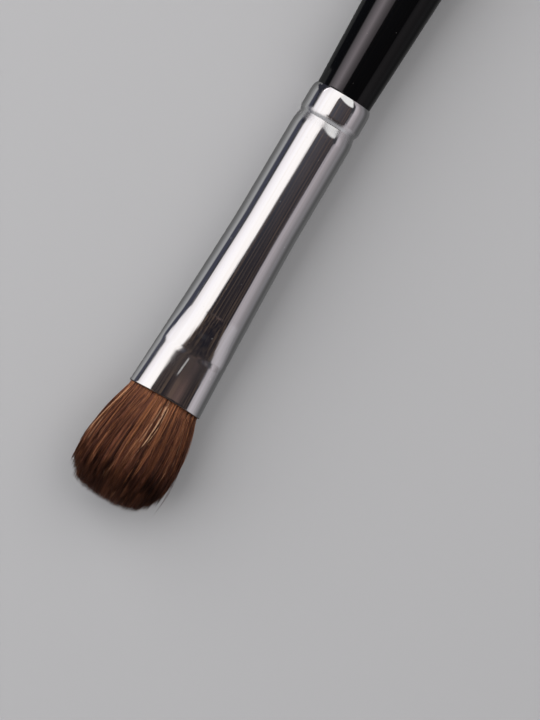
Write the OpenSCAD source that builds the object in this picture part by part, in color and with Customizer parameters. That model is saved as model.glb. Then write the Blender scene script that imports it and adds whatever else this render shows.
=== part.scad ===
// Eyeshadow brush, lying on its broad side, in millimetres.
// The brush's axis runs along +X, from the tail of the handle to the tips of the hair. +Z is up.
// The origin is under the middle of the brush, on the surface that it lies on.
// Each piece is drawn standing on the tail, along its own axis, and then laid down by lay_down().

/* [Handle] */
// Length of handle that shows behind the ferrule
handle_len = 118; // [95:1:140]
// Thickness of the handle at its belly
belly_d = 9.8; // [9:0.1:12]
// Distance from the ferrule to the belly
belly_at = 48; // [35:1:60]
// Thickness of the handle near its tail
tail_d = 5.4; // [4.5:0.1:7]
// Length of the rounded end of the tail
tail_round = 4; // [2.5:0.1:6]
// Thickness of the black lacquer on the wood
lacquer_t = 0.15; // [0.1:0.01:0.3]
// Length of lacquered wood that goes into the ferrule
lacquer_tuck = 1.2; // [0.6:0.1:2]
// Length of the bare wooden tenon in the ferrule, with the lacquered stretch
tenon_len = 16; // [10:0.5:17.5]
// Chamfer on the front end of the tenon
tenon_chamfer = 0.6; // [0.3:0.1:1]
// Thickness of the glue between the tenon and the ferrule
glue_t = 0.17; // [0.1:0.01:0.3]

/* [Ferrule] */
// Length of the ferrule
ferrule_len = 42.8; // [39:0.1:50]
// Outer diameter of the round stretch of the ferrule
ferrule_d = 8; // [7.6:0.1:8.6]
// Thickness of the ferrule's metal
ferrule_wall = 0.35; // [0.25:0.01:0.5]
// Length of the round stretch, from the handle's edge
round_len = 18; // [17.6:0.1:19]
// Distance from the handle's edge to the middle of the crimp
crimp_at = 3.9; // [3:0.1:6]
// Depth of the rolled crimp
crimp_depth = 0.25; // [0.1:0.01:0.3]
// Length of the crimp's wall on the handle's side
crimp_back = 0.8; // [0.5:0.1:1.4]
// Length of the crimp's wall on the mouth's side
crimp_front = 1.8; // [0.8:0.1:2.5]
// Length of the flat-pressed stretch at the mouth
press_len = 6; // [5:0.1:8]
// Length over which the tube thins towards the flat-pressed stretch
thin_len = 6.2; // [4.5:0.1:8]
// Length of the crease where the press's mark begins
crease_len = 1.1; // [1:0.1:2.5]
// Width of the mouth, outside
mouth_w = 9.85; // [9.2:0.05:10.6]
// Thickness of the mouth, outside
mouth_t = 5.6; // [5:0.05:6.4]
// How much shorter the middle of the mouth's broad sides is than its narrow sides
mouth_dip = 0.3; // [0.1:0.05:0.5]
// Thickness of the ferrule where the flat-pressed stretch begins, outside
crease_t = 5.9; // [5.5:0.05:6.8]
// Thickness of the ferrule's lip at the handle
lip_t = 0.1; // [0.05:0.01:0.2]
// Length over which the ferrule rounds in to that lip
lip_turn = 1.5; // [0.8:0.1:2]

/* [Hair] */
// Length of hair that shows in front of the ferrule
hair_len = 14.4; // [12:0.1:18]
// Width of the hair at its widest
hair_w = 12.2; // [11:0.1:14]
// Thickness of the hair at its thickest
hair_t = 7.6; // [6.4:0.1:9]
// Distance from the mouth to the widest place
widest_at = 9; // [7:0.1:11]
// Depth of the hair roots behind the mouth
root_depth = 12; // [11:0.1:13]
// Locks of hair
lock_count = 400; // [300:10:420]

/* [Potting] */
// Length of the resin plug, from its back to its rim
plug_len = 9.5; // [7:0.1:11]
// Depth of the cup in the plug that holds the hair roots
cup_depth = 3; // [1.5:0.1:4]
// Thickness of the cup's wall
cup_wall = 0.5; // [0.3:0.05:0.8]
// Width of the band of binding thread
binding_w = 2.4; // [1.5:0.1:3]
// Thickness of the binding thread
thread_d = 0.3; // [0.2:0.05:0.4]
// Gap between the plug's rim and the binding
binding_gap = 0.3; // [0.1:0.1:1]
// How far the packed roots stop short of the mouth
roots_shy = 0.3; // [0.1:0.05:1]

/* [Hidden] */
$fn = 96;

// Running gap between pieces that fit into each other
fit_gap = 0.03;
// Sides of the pressed tube and of what fills it
sides = 48;
// Steps in the outline of the lip, of each wall of the crimp, of the handle's curves and of its round end
lip_steps = 5;
wall_steps = 5;
curve_steps = 26;
tail_steps = 10;
// Steps along the flare, along the thinning, along the crease and along the flat-pressed stretch
flare_steps = 6;
thin_steps = 8;
crease_steps = 4;
press_steps = 2;
// Least distance between two rings of what fills the pressed tube
ring_gap = 0.1;
// Length of the pressed tube that is buried in the wall of the round tube, and its cover on each side there
splice_len = 0.5;
splice_cover = 0.015;

ferrule_r = ferrule_d / 2;
bore_r = ferrule_r - ferrule_wall;
neck_r = bore_r - fit_gap;
belly_r = belly_d / 2;
tail_r = tail_d / 2;
core_r = neck_r - lacquer_t;
tenon_r = neck_r - glue_t;
press_at = ferrule_len - press_len;
total_len = handle_len + ferrule_len + hair_len;

// How the press shapes the tube: how fast it flares, how much it flattens the broad sides of an ellipse and
// how much it slopes the shoulders next to them
flare_power = 1.25;
flat_share = 0.286;
slope_share = 0.25;

// Depth of the rolled crimp at d, the distance from the handle's edge of the ferrule, and of the lip's turn
function crimp(d) =
    let (u = d < crimp_at ? (crimp_at - d) / crimp_back : (d - crimp_at) / crimp_front)
    u < 1 ? crimp_depth * (1 - sin(90 * u)) : 0;
function lip(d) = d < lip_turn ? (ferrule_wall - lip_t) * pow(1 - d / lip_turn, 3) : 0;
function spread(a, b, steps) = [for (i = [1:steps]) a + (b - a) * i / steps];
lip_stations = concat([0], spread(0, lip_turn, lip_steps));
crimp_stations = concat(
    [crimp_at - crimp_back],
    spread(crimp_at - crimp_back, crimp_at, wall_steps),
    spread(crimp_at, crimp_at + crimp_front, wall_steps)
);

// Share of the way through the flare, through the thinning and through the crease, at d
function eased(u) = (1 - cos(180 * max(0, min(1, u)))) / 2;
function flared(d) = max(0, min(1, (d - round_len) / (ferrule_len - round_len)));
function thinned(d) = eased((d - press_at) / thin_len + 1);
function marked(d) = eased((d - press_at) / crease_len + 1);

// Half of the pressed tube's width, and half of its thickness, at d
function half_width(d) = ferrule_r + (mouth_w / 2 - ferrule_r) * pow(flared(d), flare_power);
function half_thick(d) =
    d < press_at
        ? ferrule_r - (ferrule_r - crease_t / 2) * thinned(d)
        : crease_t / 2 - (crease_t - mouth_t) / 2 * (d - press_at) / press_len;

// An oval that goes with the press's mark from an ellipse to flat broad sides with sloping shoulders. Its
// thickness lies along x and its width along y.
function oval(thick, width, mark) = [
    for (i = [0:sides - 1])
    let (c = cos(360 * i / sides), s = sin(360 * i / sides))
    [
        thick * sign(c) * pow(abs(c), 1 + slope_share * mark),
        width * sign(s) * pow(abs(s), 1 - flat_share * mark)
    ]
];

// The pressed tube's outline at d, drawn in by inset, as a ring of points at height z
function ring_at(d, inset, z) = [
    for (p = oval(half_thick(d) - inset, half_width(d) - inset, marked(d))) [p.x, p.y, z]
];
function ring(d, inset) = ring_at(d, inset, d);

// The mouth's edge, which dips by a parabola in the middle of the broad sides
function mouth_ring(inset) = [
    for (p = ring(ferrule_len, inset)) p - [0, 0, mouth_dip * (1 - pow(p.y / (mouth_w / 2 - inset), 2))]
];

// Stations of the pressed tube's rings. What fills the tube has its own first and last ring, and between them
// the tube's, so that both bend alike.
thin_at = press_at - thin_len;
crease_at = press_at - crease_len;
press_stations = concat(
    spread(round_len, thin_at, flare_steps),
    spread(thin_at, crease_at, thin_steps),
    spread(crease_at, press_at, crease_steps),
    spread(press_at, ferrule_len, press_steps)
);
function within(a, b) =
    concat([a], [for (d = press_stations) if (d > a + ring_gap && d < b - ring_gap) d], [b]);

// Joins rings of equally many points into one closed skin. A looped skin goes round from the last ring to
// the first, as the wall of a tube does, and any other is closed by flat ends.
module skin(rings, looped = false) {
    n = len(rings[0]);
    m = len(rings);
    spans = looped ? m : m - 1;
    walls = [
        for (k = [0:spans - 1], i = [0:n - 1])
        let (j = (i + 1) % n, near = k * n, far = (k + 1) % m * n)
        each [[near + i, far + j, near + j], [near + i, far + i, far + j]]
    ];
    ends = looped ? [] : [
        for (i = [1:n - 2]) each [[0, i, i + 1], [(m - 1) * n, (m - 1) * n + i + 1, (m - 1) * n + i]]
    ];
    polyhedron(points = [for (r = rings) each r], faces = concat(walls, ends), convexity = 4);
}

// Radius of the handle at e behind the ferrule, drawn in by inset: a swell to the belly, a long taper and a
// rounded end
taper_end = handle_len - tail_round;
function swell_r(e) = neck_r + (belly_r - neck_r) * sin(90 * e / belly_at);
function taper_r(e) =
    tail_r + (belly_r - tail_r) * (1 + cos(180 * (e - belly_at) / (taper_end - belly_at))) / 2;
function tail_points(inset) = [
    for (i = [1:tail_steps])
    let (t = 90 * i / tail_steps)
    [i == tail_steps ? 0 : (tail_r - inset) * cos(t), -taper_end - (tail_round - inset) * sin(t)]
];
function handle_points(inset) = concat(
    [for (i = [0:curve_steps]) let (e = belly_at * i / curve_steps) [swell_r(e) - inset, -e]],
    [
        for (i = [1:curve_steps])
        let (e = belly_at + (taper_end - belly_at) * i / curve_steps)
        [taper_r(e) - inset, -e]
    ],
    tail_points(inset)
);

// The turned wooden core, with the tenon that the ferrule is crimped on
module handle_core() {
    color("burlywood")
        rotate_extrude()
            polygon(concat(
                [[0, tenon_len], [tenon_r - tenon_chamfer, tenon_len], [tenon_r, tenon_len - tenon_chamfer]],
                [
                    for (i = [len(crimp_stations) - 1:-1:0])
                    let (d = crimp_stations[i])
                    [tenon_r - crimp(d), d]
                ],
                [[tenon_r, lacquer_tuck], [core_r, lacquer_tuck]],
                handle_points(lacquer_t)
            ));
}

// The dipped coat of black lacquer, which ends just inside the ferrule
module handle_lacquer() {
    inner = concat([[core_r, lacquer_tuck]], handle_points(lacquer_t));
    color([0.02, 0.02, 0.03])
        rotate_extrude()
            polygon(concat(
                [[neck_r, lacquer_tuck]],
                handle_points(0),
                [for (i = [len(inner) - 1:-1:0]) inner[i]]
            ));
}

// The film of glue between the tenon and the ferrule, squeezed by the crimp
module tenon_glue() {
    glue_end = tenon_len - tenon_chamfer;
    stations = concat([lacquer_tuck + fit_gap], crimp_stations, [glue_end]);
    color([0.85, 0.75, 0.45])
        rotate_extrude()
            polygon(concat(
                [for (d = stations) [neck_r - crimp(d), d]],
                [for (i = [len(stations) - 1:-1:0]) let (d = stations[i]) [tenon_r - crimp(d), d]]
            ));
}

// The plated tube: round and crimped at the handle, pressed to a flat oval at the mouth
module ferrule() {
    stations = concat(lip_stations, crimp_stations, [round_len]);
    wall_in = concat([[bore_r, 0]], [for (d = concat(crimp_stations, [round_len])) [bore_r - crimp(d), d]]);
    wall_out = [for (d = stations) [ferrule_r - lip(d) - crimp(d), d]];
    last = len(press_stations) - 1;
    outer = concat(
        [for (d = [round_len - splice_len, round_len]) ring_at(round_len, splice_cover, d)],
        [for (i = [0:last - 1]) ring(press_stations[i], 0)],
        [mouth_ring(0)]
    );
    inner = concat(
        [mouth_ring(ferrule_wall)],
        [for (i = [last - 1:-1:0]) ring(press_stations[i], ferrule_wall)],
        [for (d = [round_len, round_len - splice_len]) ring_at(round_len, ferrule_wall - splice_cover, d)]
    );
    color("silver") {
        rotate_extrude()
            polygon(concat(wall_out, [for (i = [len(wall_in) - 1:-1:0]) wall_in[i]]));
        skin(concat(outer, inner), looped = true);
    }
}

// Stations of what fills the pressed stretch, counted back from the mouth
root_at = ferrule_len - root_depth;
rim_at = root_at + cup_depth;
plug_back = rim_at - plug_len;
binding_at = rim_at + binding_gap;
bundle_top = ferrule_len - roots_shy;

// The resin plug, a cup that grips the hair roots and seals the tube behind them
module epoxy_plug() {
    cup = within(root_at, rim_at);
    color([0.85, 0.7, 0.35, 0.9])
        skin(concat(
            [for (d = within(plug_back, rim_at)) ring(d, ferrule_wall + fit_gap)],
            [for (i = [len(cup) - 1:-1:0]) ring(cup[i], ferrule_wall + fit_gap + cup_wall)]
        ));
}

// The thread that binds the hair roots: a band whose outside shows the rounds of the turns
turns = floor(binding_w / thread_d);
module root_binding() {
    lane = binding_w / turns;
    bumps = [
        for (k = [0:turns - 1])
        each [
            [binding_at + lane * k, ferrule_wall + fit_gap + thread_d / 3],
            [binding_at + lane * (k + 1 / 2), ferrule_wall + fit_gap]
        ]
    ];
    outside = concat(bumps, [[binding_at + binding_w, ferrule_wall + fit_gap + thread_d / 3]]);
    color("ivory")
        skin(concat(
            [for (p = outside) ring(p[0], p[1])],
            [
                ring(binding_at + binding_w, ferrule_wall + fit_gap + thread_d),
                ring(binding_at, ferrule_wall + fit_gap + thread_d)
            ]
        ), looped = true);
}

// The hair: a packed bundle of roots inside the ferrule, and locks that stand on it, bow outwards and end in
// a dome. Every lock keeps its place in a unit disc, which is stretched to the outline of the hair at each
// height, so that no two locks cross.
golden_turn = 137.50776;
lock_share = 0.036; // radius of a lock in the unit disc
rim_share = 0.93; // how much of the mouth the outermost locks stand in
tuck_share = 0.1; // how far the hair draws in again in front of its widest place
ragged_share = 0.05; // how much shorter than the dome a lock may be
dome_power = 3;
lock_sink = 0.6; // how deep a lock is rooted in the packed roots
lock_stop_shares = [0.38, 0.76]; // how far along itself a lock has a ring
lock_width_shares = [1, 0.8]; // its thickness there, against its root

// Half-size of the hair at s in front of the mouth, from half-size a at the mouth to b at the widest place
function bowed(a, b, s) =
    s < widest_at
        ? a + (b - a) * sin(90 * max(0, s) / widest_at)
        : b * (1 - tuck_share * pow((s - widest_at) / (hair_len - widest_at), 2));
function dome(rho) = widest_at + (hair_len - widest_at) * sqrt(1 - pow(rho, dome_power));
function lock_rho(i) = sqrt((i + 1 / 2) / lock_count);
function lock_len(i) = dome(lock_rho(i)) * (1 - ragged_share * abs(sin(3 * golden_turn * i)));

// The unit disc's point p, carried to the outline of the hair at s in front of the mouth
mouth_in_w = (mouth_w / 2 - ferrule_wall - fit_gap) * rim_share;
mouth_in_t = (mouth_t / 2 - ferrule_wall - fit_gap) * rim_share;
function carried(p, s) = [
    p.x * bowed(mouth_in_t, hair_t / 2, s),
    p.y * bowed(mouth_in_w, hair_w / 2, s),
    ferrule_len + s
];
function lock_place(i) = lock_rho(i) * [cos(golden_turn * i), sin(golden_turn * i)];
function lock_corner(i, k, share) =
    lock_place(i) + share * lock_share * [cos(120 * k + i), sin(120 * k + i)];
function lock_rings(i) = concat(
    [for (k = [0:2]) carried(lock_corner(i, k, 1), -roots_shy - lock_sink)],
    [
        for (j = [0:len(lock_stop_shares) - 1], k = [0:2])
        carried(lock_corner(i, k, lock_width_shares[j]), lock_len(i) * lock_stop_shares[j])
    ],
    [carried(lock_place(i), lock_len(i))]
);
lock_points = 3 * (len(lock_stop_shares) + 1) + 1;
lock_faces = concat(
    [[0, 1, 2]],
    [
        for (j = [0:len(lock_stop_shares) - 1], k = [0:2])
        let (a = 3 * j + k, b = 3 * j + (k + 1) % 3)
        each [[a, b + 3, b], [a, a + 3, b + 3]]
    ],
    [for (k = [0:2]) [lock_points - 4 + k, lock_points - 1, lock_points - 4 + (k + 1) % 3]]
);

// The roots are necked where the thread binds them and where the cup grips them
module root_bundle() {
    free_inset = ferrule_wall + fit_gap;
    bound_inset = free_inset + thread_d + fit_gap;
    cup_inset = free_inset + cup_wall + fit_gap;
    neck_at = binding_at - binding_gap / 2;
    free_at = binding_at + binding_w + fit_gap;
    skin(concat(
        [for (d = within(root_at + fit_gap, neck_at)) ring(d, cup_inset)],
        [for (d = within(neck_at + fit_gap, free_at)) ring(d, bound_inset)],
        [for (d = within(free_at + thread_d, bundle_top)) ring(d, free_inset)]
    ));
}

module hair_tuft() {
    color([0.3, 0.17, 0.1]) {
        root_bundle();
        polyhedron(
            points = [for (i = [0:lock_count - 1]) each lock_rings(i)],
            faces = [for (i = [0:lock_count - 1], f = lock_faces) [for (v = f) v + i * lock_points]],
            convexity = 10
        );
    }
}

// Lays a standing piece down: its axis along +X, its width along Y, its belly on the surface
module lay_down() {
    translate([handle_len - total_len / 2, 0, belly_r])
        rotate([0, 90, 0])
            children();
}

lay_down() handle_core();
lay_down() handle_lacquer();
lay_down() tenon_glue();
lay_down() ferrule();
lay_down() epoxy_plug();
lay_down() root_binding();
lay_down() hair_tuft();
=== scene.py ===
# An eyeshadow brush: a wooden handle dipped in black lacquer, a plated ferrule that is crimped on it and pressed
# flat at its mouth, and a full, domed head of brown hair. It lies along X on its broad side, with the hair at +X.
import math

import bmesh
import bpy
import numpy as np
from mathutils import Matrix, Vector


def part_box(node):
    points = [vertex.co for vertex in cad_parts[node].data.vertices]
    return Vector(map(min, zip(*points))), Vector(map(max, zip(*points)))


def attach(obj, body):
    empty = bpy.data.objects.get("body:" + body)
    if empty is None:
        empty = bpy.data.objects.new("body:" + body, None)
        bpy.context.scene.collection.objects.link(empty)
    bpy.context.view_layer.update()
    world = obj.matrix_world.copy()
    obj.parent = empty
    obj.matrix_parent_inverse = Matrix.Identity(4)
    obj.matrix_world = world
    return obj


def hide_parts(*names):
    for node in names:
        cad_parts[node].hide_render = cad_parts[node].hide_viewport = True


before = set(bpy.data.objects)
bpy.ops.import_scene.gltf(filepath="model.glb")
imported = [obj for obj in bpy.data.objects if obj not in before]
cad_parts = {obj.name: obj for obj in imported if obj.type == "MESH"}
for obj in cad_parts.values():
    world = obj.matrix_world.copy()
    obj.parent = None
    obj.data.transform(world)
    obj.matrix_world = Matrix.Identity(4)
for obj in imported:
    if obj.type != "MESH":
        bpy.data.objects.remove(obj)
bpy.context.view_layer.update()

# The core of the handle
# Birch turned on a lathe, with a tenon at its front end that goes into the ferrule. The lacquer and the ferrule
# hide it. Its grain runs the length of the brush, and the lathe has left fine rings.
mm = 0.001
pale_birch, dark_birch = (0.72, 0.52, 0.31, 1), (0.50, 0.31, 0.15, 1)


class Wire:
    """An output in a material's nodes. Arithmetic on wires adds Math nodes, so that a + b is their sum."""

    def __init__(self, tree, socket=None):
        self.tree, self.socket = tree, socket

    def add(self, kind, settings=None, sockets=None, out=0):
        """Adds a node of a kind with its settings, fills its sockets with values or wires, and wires its output."""
        node = self.tree.nodes.new("ShaderNode" + kind)
        for name, value in (settings or {}).items():
            if name == "stops":
                ramp = node.color_ramp.elements
                ramp.remove(ramp[1])
                ramp[0].position, ramp[0].color = value[0]
                for position, colour in value[1:]:
                    ramp.new(position).color = colour
            else:
                setattr(node, name, value)
        for name, value in (sockets or {}).items():
            if isinstance(value, Wire):
                self.tree.links.new(value.socket, node.inputs[name])
            else:
                node.inputs[name].default_value = value
        return Wire(self.tree, node.outputs[out] if node.outputs else None)

    def other(self, out):
        """Another output of the node that this wire comes from."""
        return Wire(self.tree, self.socket.node.outputs[out])

    def coat(self, shader, sockets):
        """Ends the nodes with a shader for the surface, with values or wires in its sockets."""
        self.add("OutputMaterial", sockets={"Surface": self.add(shader, sockets=sockets)})

    def maths(self, operation, *values):
        """One Math node on these values or wires."""
        return self.add("Math", {"operation": operation}, dict(enumerate(values)))

    def __add__(self, other):
        return self.maths("ADD", self, other)

    def __sub__(self, other):
        return self.maths("SUBTRACT", self, other)

    def __rsub__(self, other):
        return self.maths("SUBTRACT", other, self)

    def __mul__(self, other):
        return self.maths("MULTIPLY", self, other)

    def __truediv__(self, other):
        return self.maths("DIVIDE", self, other)

    __radd__, __rmul__ = __add__, __mul__

    def rise(self, low, high):
        """A mask that goes smoothly from 0 where the wire is at low to 1 where it is at high."""
        return self.add(
            "MapRange", {"interpolation_type": "SMOOTHSTEP"}, {"Value": self, "From Min": low, "From Max": high}
        )

    def tint(self, low, high, blend="MIX"):
        """The colour low where the wire is 0, and where it is 1 the colour high or its blend with low."""
        return self.add("Mix", {"data_type": "RGBA", "blend_type": blend}, {0: self, 6: low, 7: high}, out=2)

    def cloud(self, stretch, detail=2.0):
        """Noise of a stretch per metre along X, Y and Z, on a wire of places."""
        scaled = self.add("VectorMath", {"operation": "MULTIPLY"}, {0: self, 1: stretch})
        return self.add("TexNoise", sockets={"Vector": scaled, "Scale": 1.0, "Detail": detail})


def new_finish(name):
    """An empty material, and a wire with nothing on it that starts its nodes."""
    finish = bpy.data.materials.new(name)
    finish.use_nodes = True
    finish.node_tree.nodes.clear()
    return finish, Wire(finish.node_tree)


birch, start = new_finish("birch")
place = start.add("TexCoord", out="Object")
grain = place.cloud((70, 1500, 1500), 4)
lathe_rings = place.cloud((4000, 90, 90), 1)
start.coat("BsdfPrincipled", {
    "Base Color": grain.rise(0.35, 0.7).tint(pale_birch, dark_birch),
    "Roughness": 0.5 + 0.2 * grain,
    "Normal": start.add("Bump", sockets={"Distance": 0.02 * mm, "Height": grain + 0.5 * lathe_rings}),
})
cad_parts["handle_core"].material_slots[0].material = birch

# The lacquer on the handle
# Black lacquer, dipped and dried, thick enough to flow out to a mirror with the faintest orange peel. It covers
# the handle from just inside the ferrule, over the belly, down the long taper and round the end of the tail.
edge_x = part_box("ferrule")[0].x  # the ferrule's edge at the handle
axis_z = sum(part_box("ferrule"), Vector()).z / 2  # height of the brush's axis
neck_r, belly_r, tail_r = 3.62, 4.9, 2.7
belly_at, handle_len, tail_round = 48, 118, 4
lacquer_t, lacquer_tuck = 0.15, 1.2
tail_rows, body_rows, handle_sides = 24, 230, 128
sharp_angle, same_place = math.radians(40), 1e-7
lacquer_black, dust_grey = (0.0016, 0.0017, 0.002, 1), (0.06, 0.056, 0.052, 1)


def placed(along, across, up):
    """Points in metres, from millimetres along the brush from the ferrule's edge, across it and up from its axis."""
    return np.stack(np.broadcast_arrays(edge_x + along * mm, across * mm, axis_z + up * mm), -1)


def handle_radius(behind, inset):
    """Radius of the handle at distances behind the ferrule: a quarter sine wave up to the belly, then half a
    cosine wave down to the tail. Inset is how far under the surface it is."""
    swell = neck_r + (belly_r - neck_r) * np.sin(np.pi / 2 * np.clip(behind / belly_at, 0, 1))
    down = np.clip((behind - belly_at) / (handle_len - tail_round - belly_at), 0, 1)
    taper = tail_r + (belly_r - tail_r) * (1 + np.cos(np.pi * down)) / 2
    return np.where(behind < belly_at, swell, taper) - inset


def handle_side(inset):
    """Stations and radii from the tip of the tail to the front edge. The tail's end is a quarter ellipse."""
    turn = np.linspace(np.pi / 2, 0, tail_rows, endpoint=False)
    straight = np.linspace(handle_len - tail_round, -lacquer_tuck, body_rows)
    behind = np.concatenate([handle_len - tail_round + (tail_round - inset) * np.sin(turn), straight])
    radius = np.concatenate([(tail_r - inset) * np.cos(turn), handle_radius(straight, inset)])
    return behind, np.where(np.arange(len(radius)) == 0, 0, radius)


def surface(name, points, finish, looped=False, marks=None):
    """A smooth mesh through a grid of points. Each row of the grid is a ring, joined all the way round and to the
    next ring, and the last ring to the first where looped. A ring of points in one place becomes a closed pole.
    Marks are attributes, each a grid of vectors."""
    rows, sides = points.shape[:2]
    row, side = np.meshgrid(np.arange(rows if looped else rows - 1), np.arange(sides), indexing="ij")
    next_row, next_side = (row + 1) % rows, (side + 1) % sides
    corners = [(row, side), (next_row, side), (next_row, next_side), (row, next_side)]
    faces = np.stack([r * sides + s for r, s in corners], -1).reshape(-1, 4)
    mesh = bpy.data.meshes.new(name)
    mesh.from_pydata(points.reshape(-1, 3).tolist(), [], faces.tolist())
    for mark, values in (marks or {}).items():
        mesh.attributes.new(mark, "FLOAT_VECTOR", "POINT").data.foreach_set("vector", values.astype("f").ravel())
    if not looped:
        merged = bmesh.new()
        merged.from_mesh(mesh)
        bmesh.ops.remove_doubles(merged, verts=merged.verts, dist=same_place)
        merged.to_mesh(mesh)
        merged.free()
    mesh.shade_smooth()
    mesh.set_sharp_from_angle(angle=sharp_angle)
    mesh.materials.append(finish)
    piece = bpy.data.objects.new(name, mesh)
    bpy.context.scene.collection.objects.link(piece)
    return piece


black, start = new_finish("black_lacquer")
place = start.add("TexCoord", out="Object")
peel = place.cloud((260, 520, 520))
smears = place.cloud((60, 300, 300), 3).rise(0.45, 0.75)
dust = place.cloud((5200, 5200, 5200), 0).rise(0.88, 0.92)
start.coat("BsdfPrincipled", {
    "Base Color": dust.tint(lacquer_black, dust_grey),
    "Roughness": 0.07 + 0.05 * smears + 0.3 * dust,
    "Specular IOR Level": 0.25,
    "Normal": start.add("Bump", sockets={"Distance": 0.0022 * mm, "Height": peel}),
})

outer, inner = handle_side(0), handle_side(lacquer_t)
behind = np.concatenate([outer[0], inner[0][::-1]])[:, None]
radius = np.concatenate([outer[1], inner[1][::-1]])[:, None]
turn = np.linspace(0, 2 * np.pi, handle_sides, endpoint=False)
lacquer = surface("lacquered_handle", placed(-behind, radius * np.sin(turn), radius * np.cos(turn)), black)
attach(lacquer, "root")
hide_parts("handle_lacquer")

# The glue on the tenon
# A film of cream-coloured wood glue between the tenon and the ferrule, with the strokes of the brush it was
# spread with. The ferrule hides it.
glue, start = new_finish("wood_glue")
place = start.add("TexCoord", out="Object")
strokes = place.cloud((150, 1400, 1400), 3)
start.coat("BsdfPrincipled", {
    "Base Color": strokes.rise(0.3, 0.7).tint((0.62, 0.47, 0.22, 1), (0.78, 0.66, 0.40, 1)),
    "Roughness": 0.25 + 0.3 * strokes,
    "Normal": start.add("Bump", sockets={"Distance": 0.03 * mm, "Height": strokes}),
})
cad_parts["tenon_glue"].material_slots[0].material = glue

# The ferrule
# Brass tube, drawn, plated bright and pressed: round at the handle, where its lip is turned in and a groove is
# rolled to grip the tenon, then flared to a flat oval at the mouth. The plate is a mirror with fine lines along
# it from the drawing. It ripples a little where the press has creased it, and has one pale scuff in front of that.
# Its rim is painted dark brown, a painted shade for the hair's shadow and dark reflection where it meets the mouth.
ferrule_len, ferrule_r, ferrule_wall = 42.8, 4, 0.35
round_len, press_at = 18, 36.8
crimp_at, crimp_depth, crimp_back, crimp_front = 3.9, 0.25, 0.8, 1.8
lip_t, lip_turn = 0.1, 1.5
mouth_w, mouth_t, crease_t, mouth_dip = 9.85, 5.6, 5.9, 0.3
thin_len, crease_len, flare_power = 6.2, 1.1, 1.25
flat_share, slope_share = 0.286, 0.25
rim_round, ferrule_sides = 0.12, 224
scuff_at, scuff_side, scuff_lean, scuff_half = 38, 0.43, 0.087, 0.17
plate_white, plate_grey = (0.77, 0.77, 0.785, 1), (0.74, 0.73, 0.73, 1)
scuff_grey, rim_shade_brown = (0.55, 0.54, 0.53, 1), (0.13, 0.10, 0.085, 1)


def tube_sizes(along):
    """Half the width and half the thickness of the ferrule's outside at distances along it from the handle's edge,
    and the share of the press's full mark there. The lip is a cubic, each wall of the groove a quarter of a sine
    wave, the flare a power of the distance, and the tube thins and takes the press's mark by half a cosine wave."""
    lip = (ferrule_wall - lip_t) * np.clip(1 - along / lip_turn, 0, 1) ** 3
    from_crimp = np.where(along < crimp_at, (crimp_at - along) / crimp_back, (along - crimp_at) / crimp_front)
    crimp = crimp_depth * (1 - np.sin(np.pi / 2 * np.clip(from_crimp, 0, 1)))
    flared = np.clip((along - round_len) / (ferrule_len - round_len), 0, 1)
    thinned = (1 - np.cos(np.pi * np.clip((along - press_at) / thin_len + 1, 0, 1))) / 2
    marked = (1 - np.cos(np.pi * np.clip((along - press_at) / crease_len + 1, 0, 1))) / 2
    pressed = np.clip((along - press_at) / (ferrule_len - press_at), 0, 1)
    wide = ferrule_r - lip - crimp + (mouth_w / 2 - ferrule_r) * flared ** flare_power
    thick = ferrule_r - lip - crimp - (ferrule_r - crease_t / 2) * thinned
    return wide, thick - (crease_t - mouth_t) / 2 * pressed, marked


def oval(along, turn, inset):
    """Offsets across and up of the tube's outline: an ellipse, but where it is pressed its sine is raised to a
    lower power, which flattens the broad sides, and its cosine to a higher one, which slopes the shoulders."""
    wide, thick, marked = (size[:, None] for size in tube_sizes(along))
    across = (wide - inset[:, None]) * np.sign(np.sin(turn)) * np.abs(np.sin(turn)) ** (1 - flat_share * marked)
    up = (thick - inset[:, None]) * np.sign(np.cos(turn)) * np.abs(np.cos(turn)) ** (1 + slope_share * marked)
    return across, up


plate, start = new_finish("bright_plate")
place = start.add("TexCoord", out="Object")
drawn = start.add("Attribute", {"attribute_name": "drawn"}, out="Vector")
lines = drawn.cloud((34, 34, 60), 3)
streaks = drawn.cloud((11, 11, 25), 2)
smudges = place.cloud((180, 260, 260), 3).rise(0.5, 0.75)
station = start.add("SeparateXYZ", sockets={"Vector": drawn}).other(2)
creased = station.rise(34.0 * mm, 36.5 * mm) * station.rise(40.5 * mm, 38.0 * mm)
rolled = station.rise(2.9 * mm, 3.4 * mm) * station.rise(5.3 * mm, 4.4 * mm)
dents = creased * drawn.cloud((9, 9, 900), 2)
# painted shade: the last hundredths of a millimetre of the rim turn dark brown and rough, for the hair's shadow there
rim_shade = station.rise(42.65 * mm, 42.71 * mm)
sideways = start.add("SeparateXYZ", sockets={"Vector": place}).other(1)
off_scuff = sideways + scuff_side * mm + scuff_lean * (station - scuff_at * mm)
scuff = start.maths("ABSOLUTE", off_scuff).rise(scuff_half * mm, 0.01 * mm)
scuff = scuff * station.rise(36.6 * mm, 37.2 * mm) * station.rise(39.7 * mm, 38.8 * mm)
scuff = scuff * sideways.other(2).rise(axis_z, axis_z + mm)
dust = place.cloud((4600, 5600, 5600), 0).rise(0.87, 0.90)
start.coat("BsdfPrincipled", {
    "Base Color": rim_shade.tint(
        (1.0 * dust + scuff).tint(streaks.rise(0.45, 0.75).tint(plate_white, plate_grey), scuff_grey), rim_shade_brown
    ),
    "Metallic": 1.0 - 0.7 * dust - 0.4 * scuff,
    "Roughness": 0.045 + 0.09 * lines.rise(0.5, 0.8) + 0.05 * smudges + 0.4 * dust + 0.22 * rolled + 0.09 * creased
    + 0.24 * scuff + 0.4 * rim_shade,
    "Normal": start.add("Bump", sockets={"Distance": 0.004 * mm, "Height": lines + 0.6 * streaks + 1.8 * dents}),
})

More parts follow.
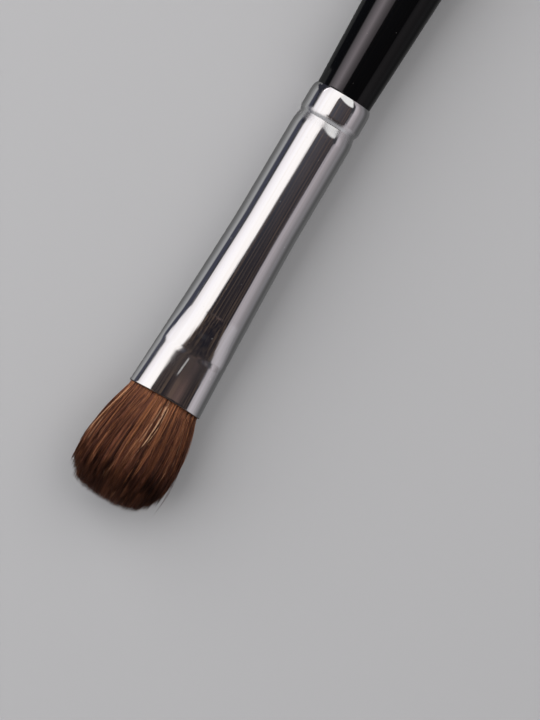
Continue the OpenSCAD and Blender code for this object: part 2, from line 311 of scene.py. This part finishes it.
# The rows of points are spaced anew after the lip, in the groove, at the flare and round the press
spaced_at = [0, 1.6, crimp_at - crimp_back, crimp_at, crimp_at + crimp_front, round_len, 35, 38.4,
             ferrule_len - rim_round]
rows = [20, 6, 20, 30, 30, 60, 40, 22]
along = np.unique(np.concatenate([
    *(np.linspace(low, high, count) for low, high, count in zip(spaced_at, spaced_at[1:], rows)),
    ferrule_len - rim_round + rim_round * np.sin(np.linspace(0, np.pi / 2, 5)),
]).round(4))
rim = rim_round - np.sqrt(np.clip(rim_round ** 2 - np.clip(along - ferrule_len + rim_round, 0, None) ** 2, 0, None))
inside = np.concatenate([
    [0], np.linspace(crimp_at - crimp_back, crimp_at + crimp_front, 13), np.linspace(round_len, press_at, 24),
    [40, ferrule_len],
])
turn = np.linspace(0, 2 * np.pi, ferrule_sides, endpoint=False)
across, up = oval(along, turn, rim)
bore_across, bore_up = oval(inside, turn, np.where(inside == 0, lip_t, ferrule_wall))
stations = np.concatenate([along, inside[::-1]])[:, None]
across = np.concatenate([across, bore_across[::-1]])
up = np.concatenate([up, bore_up[::-1]])
drawing = np.stack(np.broadcast_arrays(np.cos(turn), np.sin(turn), stations * mm), -1)
near_mouth = np.clip((stations - press_at) / (ferrule_len - press_at), 0, 1) ** 2
stations = stations - mouth_dip * near_mouth * (1 - np.clip(across / (mouth_w / 2), -1, 1) ** 2)
ferrule = surface("plated_ferrule", placed(stations, across, up), plate, looped=True, marks={"drawn": drawing})
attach(ferrule, "root")
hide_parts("ferrule")

# The resin plug
# Clear epoxy, poured into the back of the ferrule, where it has set round the roots of the hair as a cup. It has
# yellowed a little and holds small bubbles. The ferrule hides it.
resin, start = new_finish("clear_epoxy")
place = start.add("TexCoord", out="Object")
bubbles = start.add("TexVoronoi", sockets={"Vector": place, "Scale": 2600.0}).rise(0.22, 0.12)
depth = place.cloud((400, 400, 400))
start.coat("BsdfPrincipled", {
    "Base Color": depth.rise(0.3, 0.7).tint((0.80, 0.58, 0.24, 1), (0.92, 0.78, 0.48, 1)),
    "Roughness": 0.08 + 0.3 * bubbles,
    "IOR": 1.55,
    "Transmission Weight": 0.7,
    "Normal": start.add("Bump", sockets={"Distance": 0.02 * mm, "Height": bubbles}),
})
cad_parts["epoxy_plug"].material_slots[0].material = resin

# The binding
# Waxed cotton thread, wound eight times round the roots of the hair before they go into the ferrule. It shows
# the twist of its strands. The ferrule hides it.
thread, start = new_finish("binding_thread")
place = start.add("TexCoord", out="Object")
twist = place.cloud((9000, 2500, 2500), 1)
start.coat("BsdfPrincipled", {
    "Base Color": twist.rise(0.3, 0.7).tint((0.58, 0.52, 0.40, 1), (0.86, 0.82, 0.72, 1)),
    "Roughness": 0.6 + 0.2 * twist,
    "Normal": start.add("Bump", sockets={"Distance": 0.04 * mm, "Height": twist}),
})
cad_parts["root_binding"].material_slots[0].material = thread

# The hair
# Natural brown hair, thousands of strands packed into the ferrule with their own tapered tips forward. They bow
# out from the mouth, cling together in wisps and locks and end in a dome. Each strand is orange-brown near its
# root and nearly black at its tip, no two strands are quite alike, and a few pale ones cross the others.
hair_len, hair_w, hair_t, widest_at = 14.4, 12.2, 7.6, 9
mouth_in_w, mouth_in_t = 4.50, 2.40  # half the width and half the thickness of the hair at the mouth
front_draw, dome_power = 0.1, 3.6
strand_r, strand_steps = 0.042, 6
root_sink = 1.2  # how deep a strand starts inside the ferrule
golden_deg = 137.50776
rng = np.random.default_rng(7)


def bowed(mouth, widest, ahead):
    """Half-size of the head of hair at distances ahead of the mouth: a quarter sine wave from the mouth to the
    widest place, and a parabola that draws in again in front of it."""
    swell = mouth + (widest - mouth) * np.sin(np.pi / 2 * np.clip(ahead / widest_at, 0, 1))
    front = widest * (1 - front_draw * np.clip((ahead - widest_at) / (hair_len - widest_at), 0, None) ** 2)
    return np.where(ahead < widest_at, swell, front)


def strands(name, start_at, end_at, length, tone, darkens, thickness, bend, finish, root_dark=0.0):
    """A tuft of strands, each a three-sided tube that loses a quarter of its radius on the way and the rest close
    to its tip. A strand goes from one place to another in the unit disc, which is stretched to the outline of the
    hair at each height, by a power of the way and a half sine wave to one side. Its UV map runs across by tone, and
    up from how dark the root is to how dark the strand's tip is."""
    count, steps = len(length), strand_steps
    share = np.linspace(0, 1, steps + 1)[None, :, None]
    ahead = -root_sink + (length[:, None, None] + root_sink) * share
    rest = start_at[:, None] + (end_at - start_at)[:, None] * share ** 1.25
    rest = rest + bend[:, None] * np.sin(np.pi * share)
    stretch = np.concatenate([bowed(mouth_in_w, hair_w / 2, ahead), bowed(mouth_in_t, hair_t / 2, ahead)], -1)
    middle = rest * stretch
    width = thickness[:, None, None] * strand_r * (1 - 0.25 * share - 0.75 * share ** 12)
    spin = 2 * np.pi * (np.arange(3) / 3)[None, None] + np.arange(count)[:, None, None]
    across = middle[..., :1] + width * np.sin(spin)
    up = middle[..., 1:] + width * np.cos(spin)
    points = placed(ferrule_len + np.broadcast_to(ahead, across.shape), across, up)
    body = points[:, :-1].reshape(count, -1, 3)
    points = np.concatenate([body, points[:, -1:, :1].reshape(count, 1, 3)], 1)
    per = 3 * steps + 1
    ring = np.arange(steps - 1)[:, None] * 3 + np.arange(3)
    around = np.arange(steps - 1)[:, None] * 3 + (np.arange(3) + 1) % 3
    walls = np.stack([ring, ring + 3, around + 3, ring, around + 3, around], -1).reshape(-1, 3)
    tip = np.stack([ring[-1] + 3, np.full(3, per - 1), around[-1] + 3], -1)
    shape = np.concatenate([[[0, 1, 2]], walls, tip])
    faces = (shape[None] + per * np.arange(count)[:, None, None]).ravel()
    mesh = bpy.data.meshes.new(name)
    mesh.vertices.add(count * per)
    mesh.vertices.foreach_set("co", points.astype("f").ravel())
    mesh.loops.add(len(faces))
    mesh.loops.foreach_set("vertex_index", faces.astype("i"))
    mesh.polygons.add(len(faces) // 3)
    mesh.polygons.foreach_set("loop_start", np.arange(0, len(faces), 3, dtype="i"))
    mesh.update(calc_edges=True)
    side = np.append(np.tile(np.arange(3), steps), 1) * 0.002
    height = np.append(np.repeat(share.ravel()[:-1], 3), 1)
    height[1] += 0.01  # so that the root's end has some room in the UV map too
    root_dark = np.broadcast_to(root_dark, count)[:, None]
    spots = np.stack([0.99 * tone[:, None] + side, root_dark + height * (darkens[:, None] - root_dark)], -1)
    mesh.uv_layers.new(name="OFBake").data.foreach_set("uv", spots.reshape(-1, 2)[faces].astype("f").ravel())
    mesh.shade_smooth()
    mesh.materials.append(finish)
    piece = bpy.data.objects.new(name, mesh)
    bpy.context.scene.collection.objects.link(piece)
    return piece


brown, start = new_finish("brown_hair")
spot = start.add("UVMap", {"uv_map": "OFBake"})
tone = start.add("SeparateXYZ", sockets={"Vector": spot})
strand_colour = start.add("ValToRGB", {"stops": [
    (0.0, (0.022, 0.009, 0.006, 1)), (0.2, (0.085, 0.034, 0.023, 1)), (0.3, (0.155, 0.063, 0.041, 1)),
    (0.4, (0.235, 0.098, 0.062, 1)), (0.5, (0.33, 0.133, 0.063, 1)), (0.6, (0.42, 0.180, 0.080, 1)),
    (0.7, (0.49, 0.235, 0.125, 1)), (0.82, (0.62, 0.30, 0.15, 1)), (0.92, (0.85, 0.54, 0.33, 1)),
    (1.0, (0.97, 0.78, 0.58, 1)),
]}, {"Fac": tone})
along_strand = start.add("ValToRGB", {"stops": [
    (0.0, (0.86, 0.82, 0.80, 1)), (0.27, (0.75, 0.70, 0.68, 1)), (0.45, (0.58, 0.52, 0.50, 1)),
    (0.6, (0.49, 0.42, 0.42, 1)), (0.75, (0.43, 0.37, 0.385, 1)), (0.9, (0.30, 0.255, 0.27, 1)),
    (1.0, (0.20, 0.17, 0.18, 1)),
]}, {"Fac": tone.other(1)})
start.coat("BsdfPrincipled", {
    "Base Color": start.add("Mix", {"data_type": "RGBA", "blend_type": "MULTIPLY"}, {
        0: 1.0, 6: strand_colour, 7: along_strand,
    }, out=2),
    "Roughness": 0.42,
    "Specular IOR Level": 0.2,
    "Specular Tint": (1.0, 0.78, 0.62, 1),
})


def disc(count, low, high):
    """Places spread evenly over a ring of the unit disc, on a golden spiral with a little scatter."""
    index = np.arange(count)
    rho = np.sqrt(low ** 2 + (high ** 2 - low ** 2) * (index + 0.5) / count) + rng.normal(0, 0.008, count)
    turn = np.radians(golden_deg) * index + rng.normal(0, 0.02, count)
    return np.stack([rho * np.sin(turn), rho * np.cos(turn)], -1)


def dome(place, short):
    """Length of a strand from its place in the disc: the head's dome, a little longer to the left, less what it is
    short of it. The dome is the square root of what a power of the distance from the middle leaves of 1."""
    rho = np.clip(np.hypot(place[:, 0], place[:, 1]), 0, 1)
    full = widest_at + (hair_len - widest_at) * np.sqrt(1 - rho ** dome_power)
    return np.minimum(full * (1.04 - short) - 0.12 * place[:, 0], hair_len)


# The locks and the wisps in them, which give the strands their lean, bend, tone, length and darkening
locks = disc(420, 0, 1.0)
lock_lean = rng.normal(0, 0.045, (len(locks), 2))
lock_tone = rng.normal(0, 0.075, len(locks))
lock_short = np.abs(rng.normal(0, 0.018, len(locks)))
wisps = disc(2600, 0, 1.0)
wisp_lock = np.argmin(((wisps[:, None] - locks[None]) ** 2).sum(-1), 1)
wisp_end = wisps + lock_lean[wisp_lock] + rng.normal(0, 0.065, wisps.shape)
wisp_bend = rng.normal(0, 0.013, wisps.shape)
wisp_tone = lock_tone[wisp_lock] + rng.normal(0, 0.155, len(wisps))
wisp_short = lock_short[wisp_lock] + np.abs(rng.normal(0, 0.028, len(wisps)))
wisp_dark = rng.normal(0.82, 0.19, len(wisps))

# Four shells of strands from the middle outwards, with their count, their ring of the disc and their thickness.
# Across the head the tone shifts from place to place: lighter at the left edge, a painted highlight where the softbox
# lights it, and darker right of the middle, a painted shade.
tone_and_light_shifts = [0.16, 0.07, -0.06, -0.02, 0.08, -0.045, -0.15, -0.10, 0.15]
for name, count, low, high, thickness in [
    ("hair_core", 4000, 0, 0.66, 1.3), ("hair_inner", 5000, 0.64, 0.84, 1.05), ("hair_middle", 5600, 0.83, 0.93, 0.95),
    ("hair_outer", 5600, 0.92, 1.0, 0.9),
]:
    root = disc(count, low, high)
    wisp = np.argmin(((root[:, None] - wisps[None]) ** 2).sum(-1), 1)
    cling = rng.uniform(0.45, 1.0, (count, 1))
    end = root + (wisp_end[wisp] - root) * cling + rng.normal(0, 0.022, (count, 2))
    end *= np.minimum(1, 1.02 / np.hypot(end[:, 0], end[:, 1]))[:, None]
    end[:, 0] = np.maximum(end[:, 0] - 0.03, -1.04)
    length = dome(root, wisp_short[wisp] + np.abs(rng.normal(0, 0.02, count)))
    # painted light and shade across the head, added to each strand's own tone
    tone_and_light = np.interp(root[:, 0], np.linspace(-1, 1, len(tone_and_light_shifts)), tone_and_light_shifts)
    shade = 0.36 + wisp_tone[wisp] + rng.normal(0, 0.10, count) + tone_and_light
    pale = rng.random(count) < 0.006
    tone = np.clip(np.where(pale, rng.uniform(0.82, 0.93, count), shade), 0.02, 0.97)
    darkens = np.clip(wisp_dark[wisp] + rng.normal(0, 0.08, count), 0.4, 1)
    piece = strands(
        name, root, end, length, tone, darkens, thickness * rng.uniform(0.75, 1.3, count),
        wisp_bend[wisp] + rng.normal(0, 0.006, (count, 2)), brown, np.clip(-2.0 * wisp_tone[wisp] - 0.1, 0, 0.4)
    )
    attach(piece, "root")
    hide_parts("hair_tuft")

# Loose strands that lie over the others at a slant
count = 1300
root_turn = rng.uniform(0, 2 * np.pi, count)
end_turn = root_turn + rng.normal(0, 0.14, count)
length = rng.uniform(4.5, 14.0, count)
edge = (1 - np.clip((length - widest_at) / (hair_len - widest_at), 0, 0.99) ** 2) ** (1 / dome_power)
crossing = strands(
    "hair_crossing", 0.99 * np.stack([np.sin(root_turn), np.cos(root_turn)], -1),
    1.01 * edge[:, None] * np.stack([np.sin(end_turn), np.cos(end_turn)], -1), length,
    rng.uniform(0.12, 0.62, count), rng.uniform(0.45, 1.0, count), rng.uniform(0.8, 1.2, count),
    rng.normal(0, 0.02, (count, 2)), brown
)
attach(crossing, "root")
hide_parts("hair_tuft")

# Single strands that stand out: the pale ones that lie across the head, and the few that have strayed from it
odd = np.array([
    # side and height of the root and of the tip in the disc, length in millimetres, tone, thickness, bend
    (0.08, 1.00, -0.05, 1.02, 8.2, 0.95, 1.2, 0.06), (0.05, 1.00, -0.02, 1.02, 7.4, 0.91, 1.1, 0.05),
    (0.00, 1.00, -0.10, 1.02, 7.0, 0.93, 1.1, 0.02), (0.13, 0.99, 0.06, 1.02, 6.0, 0.90, 1.0, 0.05),
    (-0.05, 1.00, -0.15, 1.01, 7.6, 0.84, 1.0, 0.01), (-0.10, 1.00, -0.12, 1.02, 5.0, 0.80, 1.0, 0.03),
    (0.66, 0.75, 0.28, 0.98, 4.6, 0.86, 1.1, 0.00), (0.30, 0.96, 0.16, 1.00, 10.8, 0.62, 1.0, 0.02),
    (-0.22, 0.98, -0.30, 0.98, 11.6, 0.64, 1.1, -0.02), (-0.50, 0.87, -0.44, 0.91, 11.0, 0.66, 1.0, 0.01),
    (0.12, 1.00, 0.06, 1.00, 12.4, 0.62, 1.0, 0.02), (-0.93, 0.30, -1.045, 0.34, 8.6, 0.90, 0.8, -0.01),
    (-0.97, 0.10, -1.03, 0.10, 9.5, 0.88, 0.9, 0.00), (-0.95, 0.25, -1.03, 0.28, 8.2, 0.93, 0.9, 0.00),
    (0.96, 0.15, 1.04, 0.18, 10.6, 0.25, 0.9, 0.00), (0.95, 0.25, 1.05, 0.28, 12.2, 0.20, 0.9, 0.00),
    (0.90, 0.40, 1.03, 0.45, 13.2, 0.15, 0.9, 0.00),
])
stray = strands(
    "hair_strays", odd[:, :2], odd[:, 2:4], odd[:, 4], odd[:, 5], np.full(len(odd), 0.35), odd[:, 6],
    odd[:, 7:] * [1, 0], brown
)
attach(stray, "root")
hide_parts("hair_tuft")

# Inside the ferrule the roots are packed into a bundle, drawn in where the thread and the resin's cup grip it. Its
# UV map gives each side of the bundle a tone, and darkens it slowly to the front and outwards.
root_sides = 160
down = np.array([30.83, 30.83, 32.4, 33.95, 33.98, 35.2, 36.0, 36.53, 36.83, 38.5, 40.5, 42.5, 42.5])
grip = np.where(down < 33.96, 0.91, np.where(down < 36.6, 0.71, 0.38))
turn = np.linspace(0, 2 * np.pi, root_sides, endpoint=False)
ends = np.ones((len(down), 1))
ends[[0, -1]] = 0  # the bundle's two ends are closed in their middle
across, up = (offset * ends for offset in oval(down, turn, grip))
roots = surface("hair_roots", placed(down[:, None], across, up), brown)
spots = np.empty(3 * len(roots.data.vertices))
roots.data.vertices.foreach_get("co", spots)
ahead, across, up = (spots.reshape(-1, 3) / mm - np.array([edge_x, 0, axis_z]) / mm).T
nearest_side = np.round(np.arctan2(across, up) / (2 * np.pi) * root_sides).astype(int) % root_sides
streak = rng.uniform(0.15, 0.55, root_sides)[nearest_side]
spots = np.stack([streak, 0.01 * (ahead - 30 + np.hypot(across, up))], -1)
loops = np.empty(len(roots.data.loops), "i")
roots.data.loops.foreach_get("vertex_index", loops)
roots.data.uv_layers.new(name="OFBake").data.foreach_set("uv", spots[loops].astype("f").ravel())
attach(roots, "root")
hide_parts("hair_tuft")

# The studio
# A pale floor, a large softbox on the left and a lamp over the handle. What the plate and the lacquer reflect is
# drawn for them: a room with a pale wall and a dark brown ceiling, grey and black cards on the floor, a glowing
# card that gives the lacquer its stripe, a screen that hides it from the ferrule, and a pale card over the tail.
floor_colour, floor_mirrored = (0.44, 0.44, 0.45, 1), (0.30, 0.30, 0.31, 1)
floor_half = 4  # metres
box_away, box_turn = 0.6, math.radians(53.2)
mirror_turn = 7.1  # degrees by which the camera's lean turns what a side of the handle reflects
foot_r, card_r = 3.8, 20
card_from, card_to, screen_at = -300, -0.3, -0.2
tail_from, tail_to, tail_card_r = -121, -108.5, 12


def sheet(name, corners, faces, finish, only_mirrored=True):
    """A sheet of the studio, from its corners in metres. Only reflections show it, unless it is told otherwise.
    Returns its mesh."""
    mesh = bpy.data.meshes.new(name)
    mesh.from_pydata(corners, [], faces)
    mesh.materials.append(finish)
    piece = bpy.data.objects.new(name, mesh)
    bpy.context.scene.collection.objects.link(piece)
    if only_mirrored:
        piece.visible_camera = piece.visible_diffuse = piece.visible_transmission = piece.visible_shadow = False
    return mesh


def level(low, high, height):
    """The corners and the face of a level sheet, between its two far corners."""
    return [(*low, height), (high[0], low[1], height), (*high, height), (low[0], high[1], height)], [(0, 1, 2, 3)]


def degrees_ramp(turned, stops):
    """Shades by the degrees from overhead, negative to the left: from stops of degrees and a shade or a colour."""
    return turned.add("ValToRGB", {"stops": [
        ((angle + 90) / 180, shade if isinstance(shade, tuple) else (shade, shade, shade * 1.02, 1))
        for angle, shade in stops
    ]}, {"Fac": turned / 180 + 0.5})


def reflector(name, near, far, turned, stops):
    """A glowing strip between two rows of points that only reflections show, with the degrees that each point is
    seen at and the shades of the strip by those degrees."""
    finish, start = new_finish(name)
    degrees = start.add("Attribute", {"attribute_name": "turned"}, out="Fac")
    start.coat("Emission", {"Color": degrees_ramp(degrees, stops)})
    first = np.arange(len(near) - 1)
    faces = np.stack([first, first + 1, first + 1 + len(near), first + len(near)], -1)
    mesh = sheet(name, np.concatenate([near, far]).tolist(), faces.tolist(), finish)
    mesh.attributes.new("turned", "FLOAT", "POINT").data.foreach_set("value", turned.astype("f"))


def softbox(name, away, size, radiance, colour, shape="RECTANGLE"):
    """A flat lamp at an offset from the ferrule, facing it, whose power gives it that radiance."""
    lamp = bpy.data.lights.new(name, "AREA")
    lamp.shape = shape
    lamp.size, lamp.size_y = size
    lamp.energy = radiance * math.pi * size[0] * size[1]
    lamp.color = colour
    stand = bpy.data.objects.new(name, lamp)
    bpy.context.scene.collection.objects.link(stand)
    stand.location = Vector((edge_x + 0.02, 0, axis_z)) + Vector(away)
    stand.rotation_mode = "QUATERNION"
    stand.rotation_quaternion = Vector(away).to_track_quat("Z", "Y")
    stand.visible_camera = stand.visible_glossy = False


paper, start = new_finish("floor_paper")
rays = start.add("LightPath", out="Is Glossy Ray")
place = start.add("TexCoord", out="Object")
far = start.add("VectorMath", {"operation": "LENGTH"}, {0: place}, out="Value").rise(0.3, 1.0)
# painted reflection: reflections see the floor a darker grey than its own colour
lit = start.add("BsdfDiffuse", sockets={"Color": rays.tint(floor_colour, floor_mirrored)})
glow = start.add("Emission", sockets={"Color": rays.tint(floor_colour, floor_mirrored)})
start.coat("MixShader", {0: far, 1: lit, 2: glow})
sheet("floor", *level((-floor_half, -floor_half), (floor_half, floor_half), 0), paper, only_mirrored=False)

# The grey card's shades run across the brush, and the ramp's middle lies under its axis
card, start = new_finish("card")
across = start.add("SeparateXYZ", sockets={"Vector": start.add("TexCoord", out="Object")}).other(1)
start.coat("Emission", {"Color": start.add("ValToRGB", {"stops": [
    (0.0, (0.062, 0.064, 0.088, 1)), (0.477, (0.062, 0.064, 0.088, 1)), (0.4795, (0.40, 0.40, 0.40, 1)),
    (0.486, (0.40, 0.40, 0.40, 1)), (0.491, (0.18, 0.18, 0.18, 1)), (0.495, (0.12, 0.12, 0.12, 1)),
    (0.509, (0.14, 0.14, 0.14, 1)), (0.5146, (0.087, 0.087, 0.087, 1)), (0.5237, (0.130, 0.128, 0.130, 1)),
    (0.536, (0.195, 0.188, 0.195, 1)), (0.549, (0.225, 0.215, 0.225, 1)), (0.9, (0.26, 0.25, 0.26, 1)),
]}, {"Fac": across + 0.5})})
sheet("grey_card", *level((-0.3, -0.715), (0.3, 0.45), 0.5 * mm), card)
black_card, start = new_finish("black_card")
start.coat("Emission", {"Color": (0.03, 0.03, 0.04, 1)})
sheet("black_card", *level((-0.3, -0.715), (edge_x - 2.5 * mm, -0.010), 0.7 * mm), black_card)

softbox("left_softbox", (0, -box_away * math.sin(box_turn), box_away * math.cos(box_turn)), (0.9, 0.775), 2.2,
        (1, 0.99, 0.98))
softbox("handle_lamp", (-0.37, 0.154, 0.473), (0.75, 0.58), 0.9, (1, 0.97, 0.93), "ELLIPSE")

# The glowing card is an arc round the handle, and the screen reaches from near the handle to it. Each point is
# seen at twice the angle of the handle's side that mirrors it, less what the camera leans.
facing = np.radians(np.linspace(-38.3, -8.2, 38))
seen_at = 2 * facing - math.radians(mirror_turn)
foot = foot_r * np.stack([np.sin(facing), np.cos(facing)], -1)
toward = np.stack([np.sin(seen_at), np.cos(seen_at)], -1)
lean_in = (foot * toward).sum(-1)
arc = foot + toward * (np.sqrt(lean_in ** 2 + card_r ** 2 - foot_r ** 2) - lean_in)[:, None]
turned = np.tile(np.degrees(seen_at), 2)
reflector("glow_card", placed(card_from, arc[:, 0], arc[:, 1]), placed(card_to, arc[:, 0], arc[:, 1]), turned, [
    (-83.6, (2.1, 1.9, 2.0, 1)), (-79, (2.95, 2.65, 2.8, 1)), (-67, (5.1, 4.5, 4.8, 1)), (-54, (7.4, 6.5, 6.9, 1)),
    (-42, (4.0, 3.55, 3.75, 1)), (-30, (2.25, 2.0, 2.1, 1)), (-20, (1.7, 1.5, 1.6, 1)),
])
screen = [placed(screen_at, row[:, 0], row[:, 1]) for row in (foot, arc)]
reflector("glow_screen", *screen, turned, [
    (-83.6, (0.98, 0.93, 0.95, 1)), (-73.8, (1.12, 1.07, 1.09, 1)), (-52, (1.28, 1.23, 1.22, 1)),
    (-20, (1.22, 1.16, 1.12, 1)),
])
overhead = np.radians(np.linspace(-17.5, 40, 20))
ends = [placed(along, tail_card_r * np.sin(overhead), tail_card_r * np.cos(overhead)) for along in (tail_from, tail_to)]
reflector("tail_card", *ends, np.repeat([0.0, 30.0], len(overhead)), [(0, 0.75), (30, 0.45)])

# The room, by how far a direction points along the brush and by the degrees that it is turned from overhead
room = bpy.data.worlds.new("room")
room.use_nodes = True
room.node_tree.nodes.clear()
bpy.context.scene.world = room
start = Wire(room.node_tree)
outward = start.add("TexCoord")
along = start.add("SeparateXYZ", sockets={"Vector": outward})
turned = start.maths("ARCTAN2", along.other(1), along.other(2)) * (180 / math.pi)


def band(stops):
    """A ramp over the room from the left floor line to the right one, from stops of degrees and shades."""
    return degrees_ramp(turned, stops)


def patch(wire, middle, half):
    """A soft mask that is 1 where the wire is in the middle and 0 from half away from it."""
    return start.maths("ABSOLUTE", wire - middle).rise(half, 0.0)


def walls(left, right):
    """The room without its lamps, with a shade for the left and for the right of the ceiling."""
    return band([
        (-90, 0.03), (-87, 0.03), (-85, 0.12), (-45, 0.12), (-38, left), (-18, left), (47, right),
        (48.5, (0.38, 0.345, 0.36, 1)), (59, (0.45, 0.41, 0.43, 1)), (67, (0.40, 0.365, 0.38, 1)),
        (82, (0.265, 0.245, 0.255, 1)), (90, (0.23, 0.215, 0.22, 1)),
    ])


clouds = outward.cloud((9, 13, 0.01), 2).rise(0.42, 0.62)
stripes = outward.cloud((1.5, 12, 0.01), 3).rise(0.51, 0.61)
brownish = start.maths("MAXIMUM", clouds * 0.3, stripes)
back_room = brownish.tint(
    walls((0.086, 0.085, 0.100, 1), (0.034, 0.034, 0.044, 1)), walls((0.19, 0.140, 0.120, 1), (0.090, 0.066, 0.058, 1))
)
front_room = brownish.tint(
    walls((0.014, 0.014, 0.019, 1), (0.012, 0.012, 0.018, 1)), walls((0.125, 0.088, 0.066, 1), (0.080, 0.058, 0.046, 1))
)
bare = along.rise(-0.07, 0.01).tint(back_room, front_room)
# Two browner patches of the ceiling, which the pressed face mirrors
far_patch = patch(along, 0.070, 0.024) * turned.rise(40, 10)
bare = far_patch.tint(bare, (0.075, 0.060, 0.058, 1))
near_patch = patch(turned, 13.0, 11.0) * patch(along, 0.098, 0.026)
bare = near_patch.tint(bare, (0.16, 0.105, 0.092, 1))
# The part of the right wall that the collar mirrors, then the end wall in front of the hair, and a little more
# light on all of the right wall towards it
by_collar = along.rise(-0.0645, -0.0685) * along.rise(-0.6, -0.5) * turned.rise(42, 45)
bare = by_collar.tint(bare, band([
    (53, (0.05, 0.05, 0.055, 1)), (57, (0.57, 0.525, 0.55, 1)), (67, (0.50, 0.46, 0.48, 1)),
    (80, (0.27, 0.25, 0.26, 1)), (90, (0.23, 0.215, 0.22, 1)),
]))
front_wall = along.rise(0.50, 0.60) * along.rise(0.92, 0.85)
bare = front_wall.tint(bare, (0.42, 0.42, 0.43, 1))
lift = band([(44, 0), (54, (0.085, 0.09, 0.09, 1)), (74, (0.14, 0.14, 0.15, 1)), (90, 0.10)])
bare = along.rise(-0.05, 0.06).tint(bare, lift, "ADD")
# The softbox, whose edge and foot bend with the flare
box = band([
    (-88, (0.95, 0.91, 0.93, 1)), (-79, (1.01, 0.96, 0.97, 1)), (-73.8, (1.12, 1.07, 1.09, 1)),
    (-63.8, (1.20, 1.15, 1.17, 1)), (-52, (1.28, 1.23, 1.22, 1)), (-40, (1.28, 1.225, 1.20, 1)),
    (-28, (1.25, 1.19, 1.15, 1)), (-20, (1.22, 1.16, 1.12, 1)),
])
box_edge = turned + 5.8 * along.rise(-0.075, 0.025) + 2.2 * patch(along, 0.086, 0.022) - 1.8 * along.rise(0.10, 0.45)
box_foot = turned + 5.0 * along.rise(0.03, 0.08)
in_box = along.rise(-0.9, -0.8) * along.rise(0.56, 0.42) * box_edge.rise(-18, -22.5) * box_foot.rise(-87.5, -80.5)
# The lamp, whose near end curves away to both sides, and the pale end wall behind the tail
off_lamp = turned - 30.0
near_end = 0.25 + 0.00012 * off_lamp * off_lamp
lamp = (-1.0 * along - near_end).rise(-0.05, 0.05) * turned.rise(45, 41)
lamp = start.maths("MAXIMUM", lamp, along.rise(-0.84, -0.9))
seen = lamp.tint(bare, (1.0, 0.99, 0.97, 1))
seen = in_box.tint(seen, box)
camera_ray = start.add("LightPath")
seen = camera_ray.other("Is Glossy Ray").tint((0.40, 0.40, 0.41, 1), seen)
seen = camera_ray.tint(seen, floor_colour)
start.add("OutputWorld", sockets={"Surface": start.add("Background", sockets={"Color": seen, "Strength": 1.0})})

# The camera
# It looks straight down on the brush from 35 cm, from a little to its left, turned so that the handle leaves the
# picture at the upper right.
turn_deg, lean_deg, reach = 30.66, 8.5, 0.35
back_along, aim_along, aim_beside = -5.3, 32.1, 8.64
lean, turn = math.radians(lean_deg), math.radians(turn_deg)
back = Vector((back_along * mm, -reach * math.sin(lean), reach * math.cos(lean)))
eye = back.copy()
back.normalize()
ahead = Vector((1, 0, 0))
ahead = (ahead - back * ahead.dot(back)).normalized()  # the brush's direction in the picture
beside = back.cross(ahead)
eye += Vector((edge_x + aim_along * mm, 0, axis_z)) + aim_beside * mm * beside
right = math.cos(turn) * beside - math.sin(turn) * ahead
lens = bpy.data.cameras.new("camera")
lens.lens, lens.sensor_width = 143.5, 36
lens.clip_start, lens.clip_end = 0.01, 20
camera = bpy.data.objects.new("camera", lens)
bpy.context.scene.collection.objects.link(camera)
camera.matrix_world = Matrix((right, back.cross(right), back)).transposed().to_4x4()
camera.location = eye
bpy.context.scene.camera = camera
bpy.context.scene.view_settings.view_transform = "Standard"
